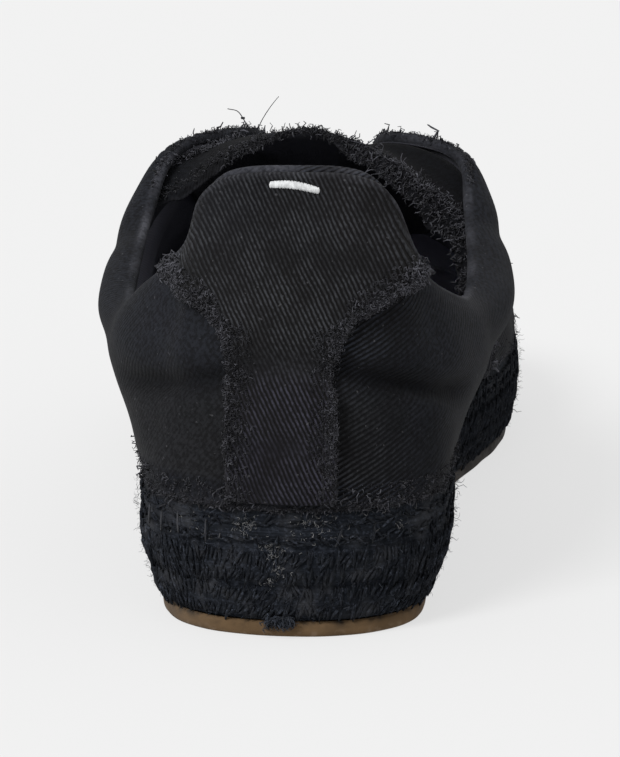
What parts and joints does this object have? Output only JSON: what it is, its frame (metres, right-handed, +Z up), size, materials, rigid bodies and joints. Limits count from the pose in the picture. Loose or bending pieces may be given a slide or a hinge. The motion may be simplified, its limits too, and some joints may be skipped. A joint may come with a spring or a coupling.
{
  "type": "sneaker",
  "caption": "Low canvas sneaker with frayed raw edges, a T-shaped heel tab, a wide tongue and punched eyelets, on a rope sole with a thin gum outsole.",
  "frame": {"origin": "on the floor, under the middle of the shoe's outer box", "axes": "the toe points along -Y, the heel along +Y, +X is the outer (lateral) side and +Z is up"},
  "size_m": [0.0934, 0.266, 0.097],
  "materials": {
    "black_canvas": "washed black cotton twill, matt",
    "black_canvas_overlay": "washed black cotton twill with raw edges, matt",
    "black_rope": "dyed jute braid, fuzzy and matt",
    "brown_gum": "gum rubber, satin",
    "footbed_cloth": "cotton cloth, matt"
  },
  "bodies": {
    "root": {"outsole": "brown_gum", "midsole": "black_rope", "insole": "footbed_cloth", "upper": "black_canvas", "tongue": "black_canvas", "heel_stay": "black_canvas_overlay"}
  },
  "joints": []
}
